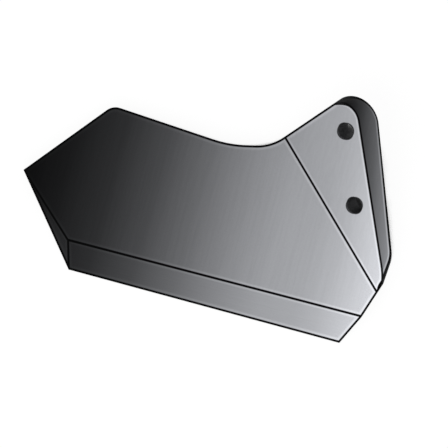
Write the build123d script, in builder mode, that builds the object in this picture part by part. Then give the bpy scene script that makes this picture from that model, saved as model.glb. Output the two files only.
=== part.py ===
from build123d import *
import os
from math import cos, radians, sin, tan

# Wing share: a plate share for a cultivator foot. A flat wing lies level, with a ground
# bevel along its cutting edge and a ground facet at its tip. A tab at the root is bent up
# and takes two bolts through to the foot.
# Plan sizes are measured from the tip end of the cutting edge: X runs along the edge to
# the root, Y runs back from the edge, Z is up from the underside.

# Plate
plate = 15.0

# Cutting edge and the bevel ground along it, on the upper face
edge_length = 216.7
bevel_width_tip = 21.6
bevel_width_root = 23.9
edge_land = 2.4

# Tip: the side from the cutting edge out to the point, and the facet ground along it
point_reach = 53.8
point_setback = 65.3
facet_start = 6.4

# Rear edge: the outer corner, then a shallow notch whose short floor is rounded into the
# edge on one side, and into the slope that carries on up the tab on the other
wing_depth = 131.3
corner_radius = 11.5
notch_floor = 32.2
notch_floor_angle = 13.3
notch_outer_radius = 90.0
notch_inner_radius = 36.0
notch_to_bend = 13.0
rear_slope_angle = 49.2

# Root edge, in two straights that meet at the top of the bevel
root_low_angle = 64.4
root_high_angle = 72.1
root_high_length = 22.2

# Bend between wing and tab
bend_line_angle = 135.8
bend_line_length = 140.4
tab_angle = 35.0
bend_inner_radius = 2.0

# Outer edge of the tab, as distances out from the bend line. It is ground at a slant that
# opens towards the top, so that the back face is the wider one
front_low_out = 10.4
front_top_out = 78.7
front_top_radius = 15.0
back_low_out = 19.4
back_top_out = 92.5
back_top_radius = 21.5

# Where the top round runs out, it ends this far clear of the rear edge instead of in it
top_run_out = 0.05

# Lower corner of the tab: cut off at a slant and rounded
low_corner_lift = 18.0
low_corner_angle = 34.0
front_low_radius = 52.0
back_low_radius = 26.0

# Bolt holes, through the tab
bolt_hole_diameter = 13.0
bolt_spacing = 60.0
bolt_line_angle = 28.4
lower_bolt_out = 23.4
lower_bolt_along = 67.2

# The arrises of the outline, from the point round to the foot of the tab, and the rims of
# the holes are broken. The cutting edge, the ground faces and the root edge stay crisp
arris_break = 0.6

# Tools reach this far past what they cut
overcut = 5.0


def turned(angle):
    """The level unit vector at an angle from +X."""
    return Vector(cos(radians(angle)), sin(radians(angle)), 0)


# Corners of the plan
root_low = Vector(edge_length, 0, 0)
root_kink = root_low + turned(root_low_angle) * (bevel_width_root / sin(radians(root_low_angle)))
bend_low = root_kink + turned(root_high_angle) * root_high_length
bend_top = bend_low + turned(bend_line_angle) * bend_line_length
notch_inner = bend_top - turned(rear_slope_angle) * notch_to_bend
notch_outer = notch_inner - turned(notch_floor_angle) * notch_floor
rear_corner = Vector(0, wing_depth, 0)

# How far the edges beside the tab run along the bend for each step out from it
out_angle = bend_line_angle - 90
root_lean = tan(radians(root_high_angle - out_angle))
rear_lean = tan(radians(rear_slope_angle - out_angle))

# The tab's own frame: x is out from the bend line, y runs along it, z leaves the front face
level_at_bend = Plane(bend_low + Vector(0, 0, plate), x_dir=turned(out_angle), z_dir=(0, 0, 1))
tab_in_plan = Plane(level_at_bend.location * Rotation(0, -tab_angle, 0))
lower_bolt = Vector(lower_bolt_out, lower_bolt_along)
bolt_step = Vector(sin(radians(bolt_line_angle)), cos(radians(bolt_line_angle))) * bolt_spacing
upper_bolt = lower_bolt + bolt_step

# The origin is the middle of the two bolts, on the tab's back face
bolt_middle = (lower_bolt + upper_bolt) / 2 - Vector(0, 0, plate)
to_origin = Location(-tab_in_plan.from_local_coords(bolt_middle))
underside = Plane(to_origin)
tab_front = Plane(to_origin * tab_in_plan.location)

# The plate before trimming: long enough for the whole share on both sides of the bend
tab_reach = back_top_out + plate
wing_reach = edge_length + point_reach + wing_depth
bend_corner = Vector(plate * tan(radians(tab_angle / 2)), 0)
tab_run = Vector(cos(radians(tab_angle)), sin(radians(tab_angle))) * tab_reach
tab_rise = Vector(-sin(radians(tab_angle)), cos(radians(tab_angle))) * plate
section_origin = underside.from_local_coords(bend_low)
section_plane = Plane(section_origin, x_dir=turned(out_angle), z_dir=-turned(bend_line_angle))


def along(start, lean, out, depth):
    """How far along the bend an edge lies that stands straight up over the plan."""
    return start + lean * (out * cos(radians(tab_angle)) + depth * sin(radians(tab_angle)))


def between(front, back, depth):
    """A size or a point of the ground edge, at a depth below the tab's front face."""
    return front + (back - front) * (depth / plate)


def trim_outline(depth):
    """What is ground away round the tab, at a depth below its front face."""
    clear = 2.5 * back_top_radius
    rear = bend_line_length + top_run_out
    front_low = Vector(front_low_out, along(0, root_lean, front_low_out, 0))
    front_top = Vector(front_top_out, along(rear, rear_lean, front_top_out, 0))
    back_low = Vector(back_low_out, low_corner_lift)
    back_top = Vector(back_top_out, along(rear, rear_lean, back_top_out, plate))
    low = between(front_low, back_low, depth)
    top = between(front_top, back_top, depth)
    low_radius = between(front_low_radius, back_low_radius, depth)
    top_radius = between(front_top_radius, back_top_radius, depth)
    slope = Vector(1, rear_lean * cos(radians(tab_angle)))
    return FilletPolyline(
        low - turned(low_corner_angle) * tab_reach,
        low,
        top,
        top - slope * clear,
        (top.X - clear, top.Y + tab_reach),
        (top.X + tab_reach, top.Y + tab_reach),
        (top.X + tab_reach, low.Y - tab_reach),
        radius=(0, low_radius, top_radius, 0, 0, 0, 0),
        close=True,
    )


def plane_through(first, second, third):
    """The plane through three points of the wing, given from the underside."""
    origin, side, end = (underside.from_local_coords(p) for p in (first, second, third))
    return Plane(origin, x_dir=side - origin, z_dir=(side - origin).cross(end - origin))


with BuildPart() as wing_share:
    # The bent plate
    with BuildSketch(section_plane):
        with BuildLine():
            FilletPolyline(
                (-wing_reach, 0),
                bend_corner,
                bend_corner + tab_run,
                bend_corner + tab_run + tab_rise,
                (0, plate),
                (-wing_reach, plate),
                radius=(0, bend_inner_radius + plate, 0, 0, bend_inner_radius, 0),
                close=True,
            )
        make_face()
    extrude(amount=wing_reach, both=True)

    # Its outline, cut straight down
    with BuildSketch(underside):
        with BuildLine():
            FilletPolyline(
                (0, 0),
                root_low,
                root_kink,
                bend_low + turned(root_high_angle) * tab_reach,
                bend_top + turned(rear_slope_angle) * tab_reach,
                notch_inner,
                notch_outer,
                rear_corner,
                (-point_reach, point_setback),
                radius=(0, 0, 0, 0, 0, notch_inner_radius, notch_outer_radius, corner_radius, 0),
                close=True,
            )
        make_face()
    extrude(amount=plate + tab_reach, mode=Mode.INTERSECT)

    # The outer edge and lower corner of the tab, ground from the front through to the back
    for depth in (-overcut, plate + overcut):
        with BuildSketch(tab_front.offset(-depth)):
            with BuildLine():
                trim_outline(depth)
            make_face()
    loft(ruled=True, mode=Mode.SUBTRACT)

    # Ground faces: the cutting bevel, then the tip facet, which runs out at the point
    edge_tip = Vector(0, 0, edge_land)
    bevel_tip = Vector(-facet_start, bevel_width_tip, plate)
    bevel_root = root_kink + Vector(0, 0, plate)
    point = Vector(-point_reach, point_setback, plate)
    split(bisect_by=plane_through(edge_tip, bevel_root, bevel_tip), keep=Keep.BOTTOM)
    split(bisect_by=plane_through(edge_tip, bevel_tip, point), keep=Keep.BOTTOM)

    # Bolt holes, straight through the tab
    with Locations(tab_front):
        with Locations(lower_bolt, upper_bolt):
            Hole(radius=bolt_hole_diameter / 2, depth=plate)

    # Arrises: the runs of the outline that pass the middle of the rear edge, and the rims
    rear_middle = underside.from_local_coords((rear_corner + notch_outer) / 2)
    spots = (rear_middle, rear_middle + Vector(0, 0, plate))
    fillet([wing_share.edges().sort_by_distance(spot)[0] for spot in spots], radius=arris_break)
    rounds = wing_share.edges().filter_by(GeomType.CIRCLE)
    fillet(rounds.filter_by(lambda rim: rim.radius == bolt_hole_diameter / 2), radius=arris_break)

wing_share.part.label = "wing_share"

os.makedirs("parts", exist_ok=True)
export_step(wing_share.part, "parts/wing_share.step")
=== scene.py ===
import bpy
from math import cos, radians, sin, tan
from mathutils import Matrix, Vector


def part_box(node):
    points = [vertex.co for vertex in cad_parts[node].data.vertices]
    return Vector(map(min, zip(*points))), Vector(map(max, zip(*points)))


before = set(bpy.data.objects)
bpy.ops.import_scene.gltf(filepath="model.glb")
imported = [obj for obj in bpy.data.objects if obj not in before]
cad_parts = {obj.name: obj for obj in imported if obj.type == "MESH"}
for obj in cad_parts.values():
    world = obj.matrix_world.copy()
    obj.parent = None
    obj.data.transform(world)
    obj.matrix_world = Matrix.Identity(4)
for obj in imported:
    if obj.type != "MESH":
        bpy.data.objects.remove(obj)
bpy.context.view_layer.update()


def turned(angle):
    """The level direction at an angle from +X."""
    return Vector((cos(radians(angle)), sin(radians(angle)), 0))


def over(place):
    """The place straight over or under another, level with the upper face."""
    return Vector((place.x, place.y, PLATE))


# Sizes in millimetres and degrees, as the share is built. Plan places are measured from the
# tip end of the cutting edge at the underside: X runs along the edge, Y back from it, Z up.
# A straight is given as its angle and length
PLATE = 15.0
EDGE_LAND = 2.4
EDGE_LENGTH = 216.7
BEVEL_TIP = (-6.4, 21.6)
ROOT_LOW = (64.4, 26.5)
ROOT_HIGH = (72.1, 22.2)
POINT_REACH = 53.8
POINT_SETBACK = 65.3
WING_DEPTH = 131.3
CORNER_RADIUS = 11.5
NOTCH_FLOOR = (13.3, 32.2)
NOTCH_OUTER_RADIUS = 90.0
NOTCH_INNER_RADIUS = 36.0
REAR_SLOPE = (49.2, 13.0)
BEND = (135.8, 140.4)
TAB_ANGLE = 35.0
LOW_CORNER_ANGLE = 34.0
FRONT_LOW_RADIUS = 52.0
FRONT_TOP_RADIUS = 15.0
BACK_LOW_RADIUS = 26.0
BACK_TOP_RADIUS = 21.5
HOLE_RADIUS = 6.5
BOLT_SPACING = 60.0
BOLT_LINE_ANGLE = 28.4

# Lines that run past the tab are drawn this long
TAB_REACH = 92.0

# Corners of the upper face, and the tip end of the cutting edge, on its land and over it
edge_tip = Vector((0, 0, EDGE_LAND))
edge_start = over(edge_tip)
root_low = Vector((EDGE_LENGTH, 0, PLATE))
root_kink = root_low + turned(ROOT_LOW[0]) * ROOT_LOW[1]
bend_low = root_kink + turned(ROOT_HIGH[0]) * ROOT_HIGH[1]
bend_top = bend_low + turned(BEND[0]) * BEND[1]
root_end = bend_low + turned(ROOT_HIGH[0]) * TAB_REACH
slope_end = bend_top + turned(REAR_SLOPE[0]) * TAB_REACH
notch_inner = bend_top - turned(REAR_SLOPE[0]) * REAR_SLOPE[1]
notch_outer = notch_inner - turned(NOTCH_FLOOR[0]) * NOTCH_FLOOR[1]
rear_corner = Vector((0, WING_DEPTH, PLATE))
point = Vector((-POINT_REACH, POINT_SETBACK, PLATE))
bevel_tip = Vector((*BEVEL_TIP, PLATE))

# The tab's directions: out from the bend, along it, and square to its front face. Places on
# its front and back faces are given out from the bend and along it
out_level = turned(BEND[0] - 90)
tab_x = out_level * cos(radians(TAB_ANGLE)) + Vector((0, 0, sin(radians(TAB_ANGLE))))
tab_y = turned(BEND[0])
tab_z = tab_x.cross(tab_y)
front_low = Vector((10.4, 4.2, 0))
front_foot = front_low - turned(LOW_CORNER_ANGLE) * TAB_REACH
front_top = Vector((78.7, 144.3, 0))
front_rear = Vector((0, BEND[1], 0))
back_low = Vector((19.4, 18.0, 0))
back_foot = back_low - turned(LOW_CORNER_ANGLE) * TAB_REACH
back_top = Vector((92.5, 145.5, 0))
back_rear = Vector((0, 141.0, 0))
lower_bolt = Vector((23.4, 67.2, 0))
upper_bolt = lower_bolt + turned(90 - BOLT_LINE_ANGLE) * BOLT_SPACING

# How far the tab leans out for each step down through it
LEAN = tan(radians(TAB_ANGLE))

# Directions that the ground faces look in
facet_z = (bevel_tip - edge_tip).cross(point - edge_tip).normalized()
bevel_z = (root_kink - edge_tip).cross(bevel_tip - edge_tip).normalized()

# Half widths of the painted dark lines, a painted shade along creases, outline and arrises, and how
# # soft their sides are. The bevel's line lies a little behind its crease
CREASE = 0.95
BEVEL_LINE_BACK = Vector((0, 0.4, 0))
OUTLINE = 1.7
FRONT_ARRIS = 0.95
FRONT_ARRIS_INSIDE = 1.0
BACK_ARRIS = 2.6
SOFT = 0.3

# More than any distance on the share
FAR_OFF = 1000.0

# The outline is wider at the foot of the tab, and the line inside the front arris at its top.
# Each is a soft step, from where it starts to where it is full
FOOT_WIDER = 1.2
NEAR_FOOT = (9.0, 4.0)
TOP_WIDER = 1.3
NEAR_TOP_ALONG = (133.0, 142.0)
NEAR_TOP_OUT = (50.0, 62.0)

# The painted highlights beside the dark lines, also from where they start to where they are full,
# # and how much brighter they are
BESIDE_CREASE = (CREASE + 2.4, CREASE + 0.7)
BESIDE_OUTLINE = (OUTLINE + 2.6, OUTLINE + 0.6)
BESIDE_FRONT_ARRIS = (3.2, 1.6)
BESIDE_GAIN = 0.3
BESIDE_BACK_ARRIS = (BACK_ARRIS + 1.7, BACK_ARRIS + 0.7)
BESIDE_BACK_FROM_X = (185.0, 200.0)
BESIDE_BACK_GAIN = 0.8

# Steps that part the faces. They are cosines of the angle from a face's own direction, or from
# straight up
SAME_FACE = (0.985, 0.995)
FRONT_FACE = (0.97, 0.99)
EDGE_FACE = (0.99, 0.97)
UPPER = (0.05, 0.15)
WALL = (0.3, 0.15)
STEEP = (0.5, 0.3)
NEARLY_WALL = (0.4, 0.22)
NOT_QUITE_WALL = (0.0, 0.15)

# How far out from the bend the tab's own looks begin
PAST_BEND = (1.0, 3.0)

# How far the painted shade of a bolt hole reaches, on the tab and in plan
BORE_RIM = (HOLE_RADIUS + 0.8, HOLE_RADIUS + 0.5)
SEEN_RIM = (HOLE_RADIUS + 0.35, HOLE_RADIUS + 0.05)

# Display greys of the steel from 0 to 255, a painted shade from nearly black at the tip to bright at
# the root. Along the cutting edge from the tip to the root
SHADES = (
    (-54, 8), (-22, 23), (14, 43), (48, 69), (82, 100), (115, 130), (149, 154), (177, 163),
    (195, 175), (212, 192), (240, 220),
)

# Back from the edge on the facet at the tip, a painted shade of that face, and along X on walls cut
# # square to the plate, darker, with the same painted shade from the tip to the root
FACET_SHADES = ((0, 42), (22, 34), (45, 16), (65, 10))
WALL_SHADES = ((-54, 40), (60, 75), (160, 105), (240, 125))

# Across the ground outer edge of the tab, along X and EDGE_LEAN of Y, a painted shade, darkest at its
# # upper end. Its dark end hardly reflects
EDGE_LEAN = 0.2
EDGE_SHADES = ((210, 15), (216, 37), (222, 58), (234, 97), (246, 136), (252, 157))
DARK_END = (222.0, 206.0)

# The bevel is a little brighter than the wing, a painted light, and the steel a little bluer than
# neutral
BEVEL_PAINTED_GAIN = 0.035
TINT = (0.983, 1.0, 1.052)
# Greys of the painted dark lines, a painted shade, on flat faces and on steep ones
LINE_SHADE_GREY = 5
STEEP_LINE_SHADE_GREY = 28
# Greys of the painted shade down the bolt holes
BORE_SHADE_GREYS = (34, 70)

# Marks in the surface, drawn out along a direction where its factor is small. Then the spreads
# of noise that are stretched to full for the marks, the grain and the bores, and how much the
# marks and the grain change the shade
ROLLED = (1.0, 0.045, 0.3)
GROUND = (0.03, 0.9, 1.1)
MARKS_SPREAD = (0.25, 0.75)
GRAIN_SPREAD = (0.3, 0.7)
BORE_SPREAD = (0.35, 0.65)
MARKS = (0.98, 1.02)
SPECK = (0.97, 1.03)

# Gloss
METALLIC = 0.4
SPECULAR = 0.02
ROUGHNESS = (0.5, 0.4)
LINE_SHADE_ROUGHNESS = 0.7
BUMP_STRENGTH = 0.25
BUMP_DISTANCE = 0.00006

# The floor, in metres: its half size, how far it looks for cover, and where the extra cover of
# # the tab starts and is full, out from the bend. Then how much that is, the shares of open sky
# # between which the floor's painted shadow goes from dark to white, its grey at both ends, dark
# # where the shadow is painted, and how bright and how much of it glows
HALF_FLOOR = 4.0
COVER_REACH = 0.25
TAB_COVER = (0.005, 0.025)
TAB_COVER_MORE = 0.07
OPEN_SKY = (0.38, 0.46)
FLOOR_COLOURS = (0.4, 0.9)
GLOW = 1.04
GLOW_SHARE = 0.88

# The light, in metres and watts: an even pale surround, white where it is seen, and one large
# soft lamp over the tip side
SURROUND = 0.73
LAMP_DIRECTION = Vector((-0.3, -0.45, 0.84))
LAMP_DISTANCE = 1.6
LAMP_SIZE = 1.4
LAMP_POWER = 7.5

# The camera looks straight down on the wing, with the cutting edge running down to the right.
# Its width and centre are in millimetres of the plan, its height is in metres
VIEW_WIDTH = 346.16
VIEW_CENTRE = Vector((106.69, 65.4, 0))
VIEW_ROLL = 15.16
VIEW_HEIGHT = 1.2

# What the dark lines follow. Creases are straights, and the others are corners with the radius
# that rounds each
creases = (
    (bevel_tip + BEVEL_LINE_BACK, root_kink + BEVEL_LINE_BACK),
    (bevel_tip, point),
    (edge_tip, bevel_tip),
    (bend_low, bend_top),
)
outline = (
    (slope_end, 0), (notch_inner, NOTCH_INNER_RADIUS), (notch_outer, NOTCH_OUTER_RADIUS),
    (rear_corner, CORNER_RADIUS), (point, 0), (edge_start, 0), (root_low, 0), (root_kink, 0),
    (root_end, 0),
)
front_arris = (
    (front_foot, 0), (front_low, FRONT_LOW_RADIUS), (front_top, FRONT_TOP_RADIUS), (front_rear, 0),
)
back_arris = (
    (back_foot, 0), (back_low, BACK_LOW_RADIUS), (back_top, BACK_TOP_RADIUS), (back_rear, 0),
)

# The foot of the tab's ground edge, where its lines run together, and the bolts seen in plan
foot = over(bend_low + tab_x * front_low.x + tab_y * front_low.y)
bolts = (lower_bolt, upper_bolt)
seen_bolts = [over(bend_low + tab_x * bolt.x + tab_y * bolt.y) for bolt in bolts]


def level(grey):
    """A display grey from 0 to 255 as a linear value."""
    c = grey / 255
    return c / 12.92 if c <= 0.04045 else ((c + 0.055) / 1.055) ** 2.4


def steel(grey):
    """The steel's colour at a display grey."""
    return tuple(level(grey) * t for t in TINT) + (1.0,)


def toward(start, end, length):
    """The place that lies a length from start, on the way to end."""
    return start + (end - start).normalized() * length


class Net:
    """The nodes of one material or world, in short words."""

    def __init__(self, owner):
        owner.use_nodes = True
        self.tree = owner.node_tree

    def node(self, kind, **settings):
        made = self.tree.nodes.new(kind)
        for key, value in settings.items():
            setattr(made, key, value)
        return made

    def feed(self, socket, value):
        if isinstance(value, bpy.types.NodeSocket):
            self.tree.links.new(value, socket)
        else:
            socket.default_value = value

    def fed(self, made, *values):
        """A node's first output, with its inputs fed in order."""
        for socket, value in zip(made.inputs, values):
            self.feed(socket, value)
        return made.outputs[0]

    def math(self, operation, *values, clamp=False):
        return self.fed(self.node("ShaderNodeMath", operation=operation, use_clamp=clamp), *values)

    def chain(self, operation, values):
        """The values taken together by one operation, in order."""
        result = values[0]
        for value in values[1:]:
            result = self.math(operation, result, value)
        return result

    def least(self, *values):
        return self.chain("MINIMUM", values)

    def most(self, *values):
        return self.chain("MAXIMUM", values)

    def times(self, *values):
        return self.chain("MULTIPLY", values)

    def smooth(self, value, start, end, low=0.0, high=1.0):
        """low at start, high at end, with a soft step between them."""
        made = self.node("ShaderNodeMapRange", interpolation_type="SMOOTHSTEP")
        return self.fed(made, value, start, end, low, high)

    def line(self, distance, half_width):
        """1 on a line of a half width, with soft sides, from the distance to its middle."""
        return self.smooth(distance, half_width + SOFT, half_width - SOFT)

    def vector(self, operation, *values):
        made = self.node("ShaderNodeVectorMath", operation=operation)
        first = self.fed(made, *values)
        scalar = operation in ("DOT_PRODUCT", "LENGTH", "DISTANCE")
        return made.outputs["Value"] if scalar else first

    def dot(self, first, second):
        return self.vector("DOT_PRODUCT", first, second)

    def scaled(self, vector, factor):
        made = self.node("ShaderNodeVectorMath", operation="SCALE")
        self.feed(made.inputs["Scale"], factor)
        return self.fed(made, vector)

    def parts(self, vector):
        made = self.node("ShaderNodeSeparateXYZ")
        self.fed(made, vector)
        return made.outputs

    def joined(self, *values):
        return self.fed(self.node("ShaderNodeCombineXYZ"), *values)

    def grey(self, value):
        """A number as a grey colour."""
        return self.fed(self.node("ShaderNodeCombineColor"), value, value, value)

    def mix(self, factor, first, second, blend="MIX"):
        made = self.node("ShaderNodeMix", data_type="RGBA", blend_type=blend)
        self.feed(made.inputs["Factor"], factor)
        self.feed(made.inputs["A"], first)
        self.feed(made.inputs["B"], second)
        return made.outputs["Result"]

    def shaded(self, colour, factor):
        """A colour times a number."""
        return self.mix(1.0, colour, self.grey(factor), "MULTIPLY")

    def gain(self, mask, amount):
        """The factor that makes a colour brighter by an amount where a mask is 1."""
        return self.math("MULTIPLY_ADD", mask, amount, 1.0)

    def ramp(self, value, stops):
        """The steel's colour along a value, from stops of (value, grey)."""
        start, end = stops[0][0], stops[-1][0]
        share = self.math("DIVIDE", self.math("SUBTRACT", value, start), end - start, clamp=True)
        made = self.node("ShaderNodeValToRGB")
        band = made.color_ramp
        while len(band.elements) < len(stops):
            band.elements.new(0.5)
        for element, (place, grey) in zip(band.elements, stops):
            element.position = (place - start) / (end - start)
            element.color = steel(grey)
        return self.fed(made, share)

    def noise(self, vector, scale, detail, roughness):
        made = self.node("ShaderNodeTexNoise")
        self.feed(made.inputs["Vector"], vector)
        made.inputs["Scale"].default_value = scale
        made.inputs["Detail"].default_value = detail
        made.inputs["Roughness"].default_value = roughness
        return made.outputs["Fac"]

    def seen(self):
        """1 where the camera, a reflection or glass looks, and 0 for light."""
        path = self.node("ShaderNodeLightPath").outputs
        return self.most(path["Is Camera Ray"], path["Is Glossy Ray"], path["Is Transmission Ray"])

    def to_nearest(self, place, points):
        """How far a place is from the nearest of some points."""
        return self.least(*[self.vector("DISTANCE", place, point) for point in points])

    def to_segment(self, place, start, end):
        """How far a place is from a straight edge."""
        run = end - start
        offset = self.vector("SUBTRACT", place, start)
        share = self.dot(offset, run / run.length_squared)
        nearest = self.scaled(tuple(run), self.math("ADD", share, 0.0, clamp=True))
        return self.vector("DISTANCE", offset, nearest)

    def to_round(self, place, before, corner, after, radius):
        """How far a place is from the arc that rounds a corner, and far off beside its sector."""
        back, on = (before - corner).normalized(), (after - corner).normalized()
        middle = (back + on).normalized()
        half = back.angle(on) / 2
        offset = self.vector("SUBTRACT", place, corner + middle * (radius / sin(half)))
        toward_corner = self.dot(self.vector("NORMALIZE", offset), -middle)
        beside = self.math("LESS_THAN", toward_corner, sin(half))
        gap = self.math("ABSOLUTE", self.math("SUBTRACT", self.vector("LENGTH", offset), radius))
        return self.math("ADD", gap, self.times(beside, FAR_OFF))

    def to_path(self, place, path):
        """How far a place is from a run of straights with rounds between, from (corner, radius)."""
        distances = []
        start = path[0][0]
        for (before, _), (corner, radius), (after, _) in zip(path, path[1:], path[2:]):
            half = (before - corner).angle(after - corner) / 2
            run = radius * cos(half) / sin(half)
            distances.append(self.to_segment(place, start, toward(corner, before, run)))
            if radius:
                distances.append(self.to_round(place, before, corner, after, radius))
            start = toward(corner, after, run)
        distances.append(self.to_segment(place, start, path[-1][0]))
        return self.least(*distances)


class Spot:
    """Where a spot of the share's surface lies, which face it is on, and how far the lines are."""

    def __init__(self, net, plan_origin):
        position = net.node("ShaderNodeTexCoord").outputs["Object"]
        self.plan = net.scaled(net.vector("SUBTRACT", position, plan_origin), 1000.0)
        self.x, self.y = net.parts(self.plan)[:2]
        self.flat = net.joined(self.x, self.y, PLATE)
        self.across_edge = net.math("MULTIPLY_ADD", self.y, EDGE_LEAN, self.x)
        self.from_bend = net.vector("SUBTRACT", self.plan, bend_low)
        self.out = net.dot(self.from_bend, tab_x)
        self.along = net.dot(self.from_bend, tab_y)
        self.find_face(net)
        self.find_lines(net)

    def find_face(self, net):
        normal = net.node("ShaderNodeNewGeometry").outputs["True Normal"]
        self.rise = net.parts(normal)[2]
        self.is_upper = net.smooth(self.rise, *UPPER)
        self.is_wall = net.smooth(net.math("ABSOLUTE", self.rise), *WALL)
        self.is_facet = net.smooth(net.dot(normal, facet_z), *SAME_FACE)
        self.is_bevel = net.smooth(net.dot(normal, bevel_z), *SAME_FACE)
        self.past_bend = net.smooth(net.dot(self.from_bend, out_level), *PAST_BEND)
        like_front = net.dot(normal, tab_z)
        self.is_front = net.smooth(like_front, *FRONT_FACE)
        off_front = net.smooth(net.math("ABSOLUTE", like_front), *EDGE_FACE)
        self.is_edge = net.times(off_front, self.past_bend, self.is_upper)

    def find_lines(self, net):
        self.to_crease = net.least(*[net.to_segment(self.plan, *crease) for crease in creases])
        to_foot = net.vector("DISTANCE", self.flat, foot)
        wider = net.smooth(to_foot, *NEAR_FOOT, 0.0, FOOT_WIDER)
        self.to_outline = net.math("SUBTRACT", net.to_path(self.flat, outline), wider)

        # Arrises of the tab's outer edge, each as it lies under or over the spot in plan
        depth = net.times(net.dot(self.from_bend, tab_z), -1.0)
        across = net.math("MULTIPLY_ADD", depth, LEAN, self.out)
        over_front = net.joined(across, self.along, 0.0)
        over_back = net.joined(net.math("SUBTRACT", across, PLATE * LEAN), self.along, 0.0)
        self.to_front_arris = net.to_path(over_front, front_arris)
        self.to_back_arris = net.to_path(over_back, back_arris)


def steel_with_painted_shade(net, spot):
    """The steel's colour with painted shade: nearly black at the tip and bright at the root, painted
    shade on the facet and across the tab's ground edge, darker walls, and painted light on the bevel.
    """
    colour = net.mix(spot.is_facet, net.ramp(spot.x, SHADES), net.ramp(spot.y, FACET_SHADES))
    colour = net.shaded(colour, net.gain(spot.is_bevel, BEVEL_PAINTED_GAIN))
    colour = net.mix(spot.is_wall, colour, net.ramp(spot.x, WALL_SHADES))
    return net.mix(spot.is_edge, colour, net.ramp(spot.across_edge, EDGE_SHADES))


def surface_marks(net, spot):
    """Faint rolling marks across the plate, and grinding marks along the bevel."""
    across_plate = net.vector("MULTIPLY", spot.plan, ROLLED)
    along_bevel = net.vector("MULTIPLY", spot.plan, GROUND)
    rolled = net.noise(across_plate, scale=0.55, detail=4.0, roughness=0.6)
    ground = net.noise(along_bevel, scale=0.9, detail=4.0, roughness=0.65)
    return net.smooth(net.mix(spot.is_bevel, rolled, ground), *MARKS_SPREAD, *MARKS)


def painted_dark_lines(net, spot):
    """1 on the painted dark lines, a painted shade along the creases, the outline and the tab's
    arrises, and where the tab's ground edge turns under.
    """
    crease = net.times(net.line(spot.to_crease, CREASE), spot.is_upper)
    edges = net.times(net.line(spot.to_outline, OUTLINE), spot.is_upper)
    at_front = net.line(spot.to_front_arris, FRONT_ARRIS)
    at_back = net.line(spot.to_back_arris, BACK_ARRIS)
    # Painted shade where the ground edge of the tab turns under
    turned_under = net.times(
        net.smooth(spot.rise, *NEARLY_WALL), net.smooth(spot.rise, *NOT_QUITE_WALL)
    )
    arrises = net.times(net.most(at_front, at_back, turned_under), spot.is_edge)
    near_top = net.times(net.smooth(spot.along, *NEAR_TOP_ALONG), net.smooth(spot.out, *NEAR_TOP_OUT))
    to_inside = net.math("SUBTRACT", spot.to_front_arris, net.times(near_top, TOP_WIDER))
    inside = net.times(net.line(to_inside, FRONT_ARRIS_INSIDE), spot.is_front)
    return net.most(crease, edges, arrises, inside)


def painted_highlights(net, spot):
    """How much brighter the steel is in the painted highlights beside the dark lines, as a factor."""
    beside = net.most(
        net.smooth(spot.to_crease, *BESIDE_CREASE),
        net.times(net.smooth(spot.to_outline, *BESIDE_OUTLINE), spot.is_upper),
        net.times(net.smooth(spot.to_front_arris, *BESIDE_FRONT_ARRIS), spot.is_front),
    )
    beside_back = net.times(
        net.smooth(spot.to_back_arris, *BESIDE_BACK_ARRIS),
        spot.is_edge,
        net.smooth(spot.x, *BESIDE_BACK_FROM_X),
    )
    return net.times(net.gain(beside, BESIDE_GAIN), net.gain(beside_back, BESIDE_BACK_GAIN))


def painted_bore_shade(net, spot):
    """1 down the bolt holes and round their rims, where shade is painted."""
    on_tab = net.joined(spot.out, spot.along, 0.0)
    bore = net.smooth(net.to_nearest(on_tab, bolts), *BORE_RIM)
    rim = net.times(net.smooth(net.to_nearest(spot.flat, seen_bolts), *SEEN_RIM), spot.is_front)
    return net.times(net.most(bore, rim), spot.past_bend)


def share_steel(plan_origin):
    """Bare hardened plate with a painted shade from nearly black at the tip to bright at the root,
    painted dark lines of shade along creases, arrises and outline, painted highlights beside them,
    and painted shade down the bolt holes."""
    material = bpy.data.materials.new("share_steel")
    net = Net(material)
    spot = Spot(net, plan_origin)
    marks = surface_marks(net, spot)
    grain = net.noise(spot.plan, scale=1.7, detail=2.0, roughness=0.6)
    scale = painted_dark_lines(net, spot)

    # Colour: the steel's painted shade with its marks and specks, brightened in painted highlights,
    # then
    # # the painted dark lines and the painted shade down the bolt holes
    speck = net.smooth(grain, *GRAIN_SPREAD, *SPECK)
    colour = net.shaded(steel_with_painted_shade(net, spot), net.times(marks, speck, painted_highlights(net, spot)))
    # The painted dark lines of shade, lighter on steep faces
    steep = net.times(net.smooth(spot.rise, *STEEP), spot.is_edge)
    colour = net.mix(scale, colour, net.mix(steep, steel(LINE_SHADE_GREY), steel(STEEP_LINE_SHADE_GREY)))
    # Painted shade down the bolt holes, mottled by the grain
    bore_shade = net.mix(net.smooth(grain, *BORE_SPREAD), *[steel(grey) for grey in BORE_SHADE_GREYS])
    shader = net.tree.nodes["Principled BSDF"]
    net.feed(shader.inputs["Base Color"], net.mix(painted_bore_shade(net, spot), colour, bore_shade))

    # Gloss. The painted dark lines and the dark end of the ground edge's painted shade hardly reflect
    dark_end = net.times(net.smooth(spot.across_edge, *DARK_END), spot.is_edge)
    net.feed(shader.inputs["Metallic"], net.smooth(net.most(scale, dark_end), 0.0, 1.0, METALLIC, 0.0))
    shader.inputs["Specular IOR Level"].default_value = SPECULAR
    rough = net.smooth(marks, *MARKS, *ROUGHNESS)
    net.feed(shader.inputs["Roughness"], net.most(rough, net.times(scale, LINE_SHADE_ROUGHNESS)))
    bump = net.node("ShaderNodeBump")
    bump.inputs["Strength"].default_value = BUMP_STRENGTH
    bump.inputs["Distance"].default_value = BUMP_DISTANCE
    net.feed(bump.inputs["Height"], net.math("ADD", marks, grain))
    net.feed(shader.inputs["Normal"], bump.outputs["Normal"])
    return material


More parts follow.
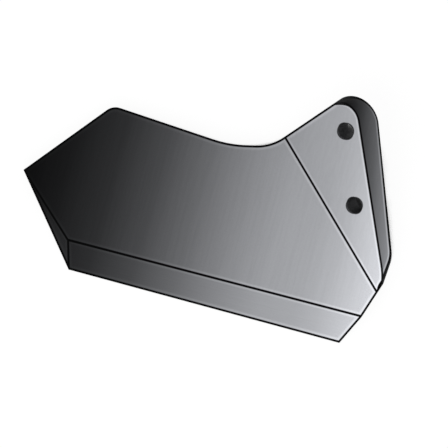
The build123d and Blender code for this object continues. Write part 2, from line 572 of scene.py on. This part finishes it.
def pale_floor(plan_origin):
    """A white floor that keeps a faint shadow, and a painted shadow where the share covers it,
    darkest under the tab."""
    material = bpy.data.materials.new("floor")
    net = Net(material)
    sky = net.node("ShaderNodeAmbientOcclusion", samples=32)
    sky.inputs["Distance"].default_value = COVER_REACH
    place = net.node("ShaderNodeNewGeometry").outputs["Position"]
    from_bend = net.vector("SUBTRACT", place, plan_origin + bend_low / 1000)
    under_tab = net.smooth(net.dot(from_bend, out_level), *TAB_COVER, 0.0, TAB_COVER_MORE)
    # Painted shadow: the floor goes dark where the share covers it, more so under the tab
    open_floor = net.smooth(net.math("SUBTRACT", sky.outputs["AO"], under_tab), *OPEN_SKY)

    shader = net.tree.nodes["Principled BSDF"]
    net.feed(shader.inputs["Base Color"], net.grey(net.smooth(open_floor, 0.0, 1.0, *FLOOR_COLOURS)))
    shader.inputs["Roughness"].default_value = 1.0
    shader.inputs["Specular IOR Level"].default_value = 0.0
    # The floor glows white where it is seen, darkened by the painted shadow
    glow = net.node("ShaderNodeEmission")
    net.feed(glow.inputs["Color"], net.grey(open_floor))
    glow.inputs["Strength"].default_value = GLOW
    both = net.node("ShaderNodeMixShader")
    mixed = net.fed(both, net.times(net.seen(), GLOW_SHARE), shader.outputs[0], glow.outputs[0])
    net.feed(net.tree.nodes["Material Output"].inputs["Surface"], mixed)
    return material


def add(name, data):
    """A new object in the scene."""
    made = bpy.data.objects.new(name, data)
    bpy.context.scene.collection.objects.link(made)
    return made


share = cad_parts["wing_share"]
low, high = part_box("wing_share")
plan_origin = Vector((low.x + POINT_REACH / 1000, low.y, low.z))
share.data.materials.clear()
share.data.materials.append(share_steel(plan_origin))

# Floor, level with the underside
floor_mesh = bpy.data.meshes.new("floor")
corners = [(sx * HALF_FLOOR, sy * HALF_FLOOR, low.z) for sx, sy in ((-1, -1), (1, -1), (1, 1), (-1, 1))]
floor_mesh.from_pydata(corners, [], [(0, 1, 2, 3)])
floor_mesh.materials.append(pale_floor(plan_origin))
floor = add("floor", floor_mesh)

# Surround
world = bpy.data.worlds.new("studio")
surround = Net(world)
background = surround.tree.nodes["Background"]
background.inputs["Color"].default_value = (1, 1, 1, 1)
surround.feed(background.inputs["Strength"], surround.smooth(surround.seen(), 0.0, 1.0, SURROUND, 1.0))
bpy.context.scene.world = world

# Lamp
lamp = bpy.data.lights.new("key", "AREA")
lamp.shape = "DISK"
lamp.size = LAMP_SIZE
lamp.energy = LAMP_POWER
key = add("key", lamp)
key.location = (low + high) / 2 + LAMP_DIRECTION * LAMP_DISTANCE
key.rotation_euler = LAMP_DIRECTION.to_track_quat("Z", "Y").to_euler()

# Camera
camera_data = bpy.data.cameras.new("camera")
camera_data.type = "ORTHO"
camera_data.ortho_scale = VIEW_WIDTH / 1000
camera = add("camera", camera_data)
camera.location = plan_origin + VIEW_CENTRE / 1000 + Vector((0, 0, VIEW_HEIGHT))
camera.rotation_euler = (0, 0, radians(VIEW_ROLL))
bpy.context.scene.camera = camera

bpy.context.scene.view_settings.view_transform = "Standard"
